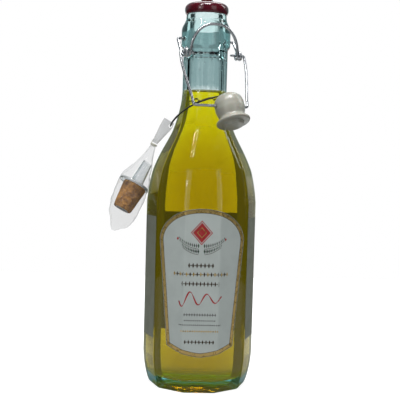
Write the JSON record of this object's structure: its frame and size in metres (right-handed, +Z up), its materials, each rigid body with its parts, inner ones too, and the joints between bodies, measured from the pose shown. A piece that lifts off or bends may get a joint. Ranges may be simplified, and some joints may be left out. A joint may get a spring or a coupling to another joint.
{
  "type": "olive oil bottle",
  "caption": "Ten-sided glass bottle of olive oil with a swing closure of wire and ceramic, a red cap, two labels and a bagged cork pourer on a string.",
  "frame": {"origin": "centre of the base, on the surface that the bottle stands on", "axes": "+Z up along the bottle, -Y towards the side with the front label, +X to that label's right"},
  "size_m": [0.1129, 0.0843, 0.2964],
  "materials": {
    "aqua_glass": "clear, pale aqua green",
    "olive_oil": "clear golden green liquid",
    "red_plastic": "glossy dark red",
    "label_paper": "matt",
    "steel_wire": "bright drawn wire",
    "white_ceramic": "glazed off-white",
    "black_elastic": "matt",
    "clear_film": "clear crinkled film",
    "tie_wire": "satin"
  },
  "bodies": {
    "bottle": {"bottle": "aqua_glass", "oil": "olive_oil", "cap": "red_plastic", "label_front": "label_paper", "label_back": "label_paper", "string": "black_elastic", "bag": "clear_film", "bag_tie": "tie_wire"},
    "lever": {"lever": "steel_wire"},
    "bail": {"bail": "steel_wire"},
    "stopper": {"stopper": "white_ceramic"}
  },
  "joints": [
    {"name": "lever_swing", "type": "hinge", "parent": "bottle", "child": "lever", "pos_m": [0, 0, 0.2645], "axis": [-0.9232, -0.3843, 0], "range_deg": [0, 10]},
    {"name": "bail_swing", "type": "hinge", "parent": "lever", "child": "bail", "pos_m": [0.0048, -0.01154, 0.253], "axis": [-0.9232, -0.3843, 0], "range_deg": [0, 115]},
    {"name": "stopper_turn", "type": "hinge", "parent": "bail", "child": "stopper", "pos_m": [0.01767, -0.02709, 0.213], "axis": [-0.9232, -0.3843, 0], "range_deg": [0, 150]}
  ]
}
